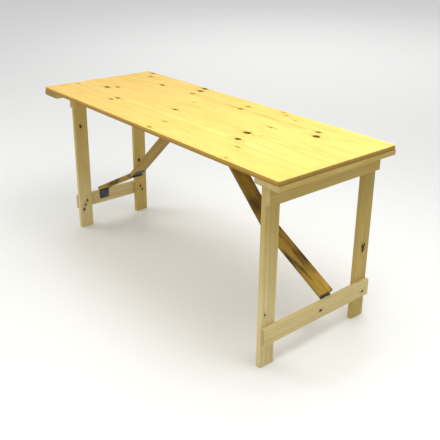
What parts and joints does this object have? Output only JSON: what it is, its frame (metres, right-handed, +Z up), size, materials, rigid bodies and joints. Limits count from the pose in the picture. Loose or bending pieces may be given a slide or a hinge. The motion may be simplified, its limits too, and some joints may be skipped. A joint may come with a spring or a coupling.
{
  "type": "folding trestle table",
  "caption": "Long pine folding table: boarded top on cross battens, a wide and a narrow leg frame that fold flat under it, each held open by a hinged two-link stay.",
  "frame": {"origin": "on the floor, below the centre of the top", "axes": "+X along the length towards the wide leg frame, +Y across the width, +Z up"},
  "size_m": [1.6, 0.6, 0.74],
  "materials": {
    "varnished_pine": "satin varnish",
    "bare_pine": "planed, bare",
    "stay_pine": "planed, darker",
    "hinge_steel": "dark rolled steel",
    "screw_steel": "dull zinc"
  },
  "bodies": {
    "table": {"batten_screws": "screw_steel", "end_batten_narrow": "bare_pine", "end_batten_wide": "bare_pine", "middle_batten": "bare_pine", "narrow_batten_hinge_batten_leaf": "hinge_steel", "narrow_batten_hinge_pin": "hinge_steel", "narrow_far_leg_hinge_batten_leaf": "hinge_steel", "narrow_far_leg_hinge_pin": "hinge_steel", "narrow_near_leg_hinge_batten_leaf": "hinge_steel", "narrow_near_leg_hinge_pin": "hinge_steel", "top_board_1": "varnished_pine", "top_board_2": "varnished_pine", "top_board_3": "varnished_pine", "top_board_4": "varnished_pine", "top_board_5": "varnished_pine", "top_board_6": "varnished_pine", "wide_batten_hinge_batten_leaf": "hinge_steel", "wide_batten_hinge_pin": "hinge_steel", "wide_far_leg_hinge_batten_leaf": "hinge_steel", "wide_far_leg_hinge_pin": "hinge_steel", "wide_near_leg_hinge_batten_leaf": "hinge_steel", "wide_near_leg_hinge_pin": "hinge_steel"},
    "wide_upper_stay": {"wide_batten_hinge_stay_leaf": "hinge_steel", "wide_knee_hinge_pin": "hinge_steel", "wide_knee_hinge_upper_leaf": "hinge_steel", "wide_upper_stay": "stay_pine"},
    "wide_lower_stay": {"wide_knee_hinge_lower_leaf": "hinge_steel", "wide_lower_stay": "stay_pine", "wide_rail_hinge_stay_leaf": "hinge_steel"},
    "wide_leg_frame": {"wide_far_leg": "bare_pine", "wide_far_leg_hinge_leg_leaf": "hinge_steel", "wide_frame_screws": "screw_steel", "wide_lower_rail": "bare_pine", "wide_near_leg": "bare_pine", "wide_near_leg_hinge_leg_leaf": "hinge_steel", "wide_rail_hinge_pin": "hinge_steel", "wide_rail_hinge_rail_leaf": "hinge_steel", "wide_top_rail": "bare_pine"},
    "narrow_upper_stay": {"narrow_batten_hinge_stay_leaf": "hinge_steel", "narrow_knee_hinge_pin": "hinge_steel", "narrow_knee_hinge_upper_leaf": "hinge_steel", "narrow_upper_stay": "stay_pine"},
    "narrow_lower_stay": {"narrow_knee_hinge_lower_leaf": "hinge_steel", "narrow_lower_stay": "stay_pine", "narrow_rail_hinge_stay_leaf": "hinge_steel"},
    "narrow_leg_frame": {"narrow_far_leg": "bare_pine", "narrow_far_leg_hinge_leg_leaf": "hinge_steel", "narrow_frame_screws": "screw_steel", "narrow_lower_rail": "bare_pine", "narrow_near_leg": "bare_pine", "narrow_near_leg_hinge_leg_leaf": "hinge_steel", "narrow_rail_hinge_pin": "hinge_steel", "narrow_rail_hinge_rail_leaf": "hinge_steel", "narrow_top_rail": "bare_pine"}
  },
  "joints": [
    {"name": "wide_knee_fold", "type": "hinge", "parent": "wide_upper_stay", "child": "wide_lower_stay", "pos_m": [0.40103, 0.05, 0.34069], "axis": [0, 1, 0], "range_deg": [0, 193]},
    {"name": "wide_batten_swing", "type": "hinge", "parent": "table", "child": "wide_upper_stay", "pos_m": [0.026, 0.05, 0.698], "axis": [0, -1, 0], "range_deg": [0, 42.42]},
    {"name": "wide_rail_swing", "type": "hinge", "parent": "wide_lower_stay", "child": "wide_leg_frame", "pos_m": [0.726, 0.05, 0.168], "axis": [0, -1, 0], "range_deg": [0, 60.59]},
    {"name": "narrow_knee_fold", "type": "hinge", "parent": "narrow_upper_stay", "child": "narrow_lower_stay", "pos_m": [-0.40103, -0.05, 0.34069], "axis": [0, -1, 0], "range_deg": [0, 193]},
    {"name": "narrow_batten_swing", "type": "hinge", "parent": "table", "child": "narrow_upper_stay", "pos_m": [-0.026, -0.05, 0.698], "axis": [0, 1, 0], "range_deg": [0, 42.42]},
    {"name": "narrow_rail_swing", "type": "hinge", "parent": "narrow_lower_stay", "child": "narrow_leg_frame", "pos_m": [-0.726, -0.05, 0.168], "axis": [0, 1, 0], "range_deg": [0, 60.59]}
  ],
  "couplings": [
    {"joint": "wide_batten_swing", "follows": "wide_knee_fold", "ratio": 0.21976},
    {"joint": "wide_rail_swing", "follows": "wide_knee_fold", "ratio": 0.31393},
    {"joint": "narrow_batten_swing", "follows": "narrow_knee_fold", "ratio": 0.21976},
    {"joint": "narrow_rail_swing", "follows": "narrow_knee_fold", "ratio": 0.31393}
  ]
}
